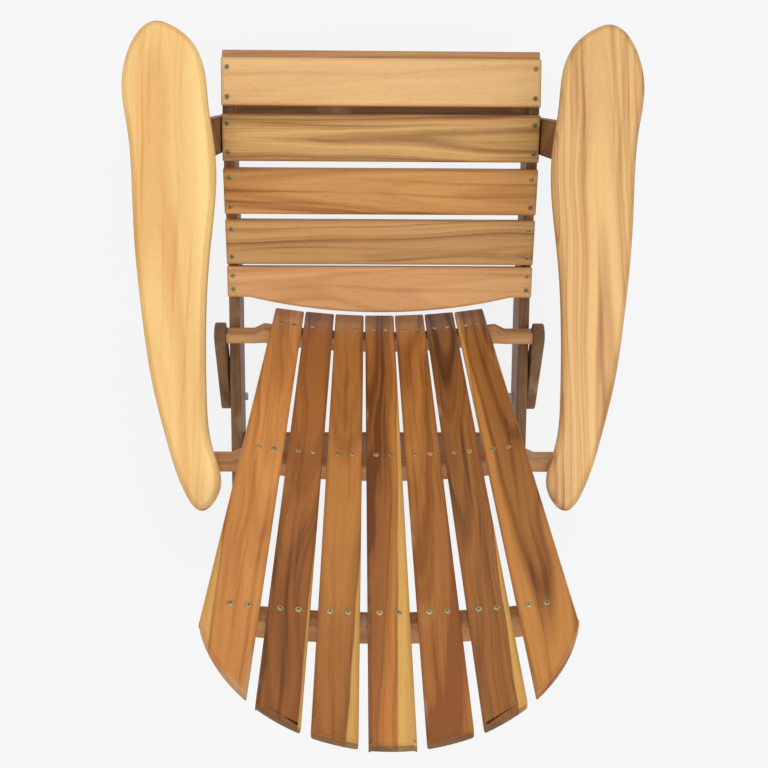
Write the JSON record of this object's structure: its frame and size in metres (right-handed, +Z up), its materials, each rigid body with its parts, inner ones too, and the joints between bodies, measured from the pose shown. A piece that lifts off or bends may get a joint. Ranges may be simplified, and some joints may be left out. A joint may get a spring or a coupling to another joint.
{
  "type": "adirondack chair",
  "caption": "Folding wooden adirondack chair with a dished slatted seat, hollow fan back and paddle arms.",
  "frame": {"origin": "on the floor under the middle of the bounding box", "axes": "+Z up, -Y out of the front of the seat, +X to the sitter's left; X = 0 is the plane of symmetry"},
  "size_m": [0.7502, 1.0033, 0.9904],
  "materials": {
    "arm_wood": "oiled honey acacia, satin",
    "seat_wood": "oiled pale acacia, satin",
    "back_wood": "oiled red-brown acacia, satin",
    "frame_wood": "oiled brown acacia, matt",
    "brass_screws": "dulled antique brass",
    "zinc_hardware": "zinc plated"
  },
  "bodies": {
    "seat_frame": {"stringer_left": "frame_wood", "stringer_right": "frame_wood", "seat_slat_1": "seat_wood", "seat_slat_2": "seat_wood", "seat_slat_3": "seat_wood", "seat_slat_4": "seat_wood", "seat_slat_5": "seat_wood", "seat_screws": "brass_screws", "front_apron": "seat_wood", "apron_screws": "brass_screws", "seat_cross_rail": "frame_wood", "rear_stretcher": "frame_wood", "side_screws": "brass_screws", "leg_pivot_bolt_left": "zinc_hardware", "leg_pivot_bolt_right": "zinc_hardware", "leg_pivot_nut_left": "zinc_hardware", "leg_pivot_nut_right": "zinc_hardware", "link_pivot_bolt_left": "zinc_hardware", "link_pivot_bolt_right": "zinc_hardware", "link_pivot_nut_left": "zinc_hardware", "link_pivot_nut_right": "zinc_hardware"},
    "back": {"back_slat_1": "back_wood", "back_slat_2": "back_wood", "back_slat_3": "back_wood", "back_slat_4": "back_wood", "back_slat_5": "back_wood", "back_slat_6": "back_wood", "back_slat_7": "back_wood", "back_screws": "brass_screws", "back_lower_rail": "frame_wood", "back_arm_rail": "frame_wood", "back_upper_rail": "frame_wood", "back_pivot_bolt_left": "zinc_hardware", "back_pivot_bolt_right": "zinc_hardware", "arm_rear_bolt_left": "zinc_hardware", "arm_rear_bolt_right": "zinc_hardware"},
    "link_left": {"back_link_left": "frame_wood"},
    "leg_left": {"front_leg_left": "frame_wood", "arm_bracket_left": "frame_wood"},
    "arm_left": {"arm_left": "arm_wood", "arm_front_block_left": "frame_wood", "arm_rear_block_left": "frame_wood", "arm_front_bolt_left": "zinc_hardware"},
    "link_right": {"back_link_right": "frame_wood"},
    "leg_right": {"front_leg_right": "frame_wood", "arm_bracket_right": "frame_wood"},
    "arm_right": {"arm_right": "arm_wood", "arm_front_block_right": "frame_wood", "arm_rear_block_right": "frame_wood", "arm_front_bolt_right": "zinc_hardware"}
  },
  "joints": [
    {"name": "link_left_swing", "type": "hinge", "parent": "seat_frame", "child": "link_left", "pos_m": [0, 0.053, 0.09813], "axis": [1, 0, 0], "range_deg": [-25, 0]},
    {"name": "link_right_swing", "type": "hinge", "parent": "seat_frame", "child": "link_right", "pos_m": [0, 0.053, 0.09813], "axis": [1, 0, 0], "range_deg": [-25, 0]},
    {"name": "back_fold", "type": "hinge", "parent": "link_left", "child": "back", "pos_m": [0, -0.03979, 0.20925], "axis": [1, 0, 0], "range_deg": [0, 108.54]},
    {"name": "leg_left_fold", "type": "hinge", "parent": "seat_frame", "child": "leg_left", "pos_m": [0, -0.387, 0.28475], "axis": [1, 0, 0], "range_deg": [0, 95.5]},
    {"name": "arm_left_fold", "type": "hinge", "parent": "leg_left", "child": "arm_left", "pos_m": [0, -0.185, 0.534], "axis": [1, 0, 0], "range_deg": [-89.9, 0]},
    {"name": "leg_right_fold", "type": "hinge", "parent": "seat_frame", "child": "leg_right", "pos_m": [0, -0.387, 0.28475], "axis": [1, 0, 0], "range_deg": [0, 95.5]},
    {"name": "arm_right_fold", "type": "hinge", "parent": "leg_right", "child": "arm_right", "pos_m": [0, -0.185, 0.534], "axis": [1, 0, 0], "range_deg": [-89.9, 0]}
  ],
  "couplings": [
    {"joint": "link_left_swing", "follows": "back_fold", "ratio": -0.22762},
    {"joint": "leg_left_fold", "follows": "back_fold", "ratio": 0.87668},
    {"joint": "arm_left_fold", "follows": "back_fold", "ratio": -0.82516},
    {"joint": "link_right_swing", "follows": "back_fold", "ratio": -0.22762},
    {"joint": "leg_right_fold", "follows": "back_fold", "ratio": 0.87668},
    {"joint": "arm_right_fold", "follows": "back_fold", "ratio": -0.82516}
  ]
}
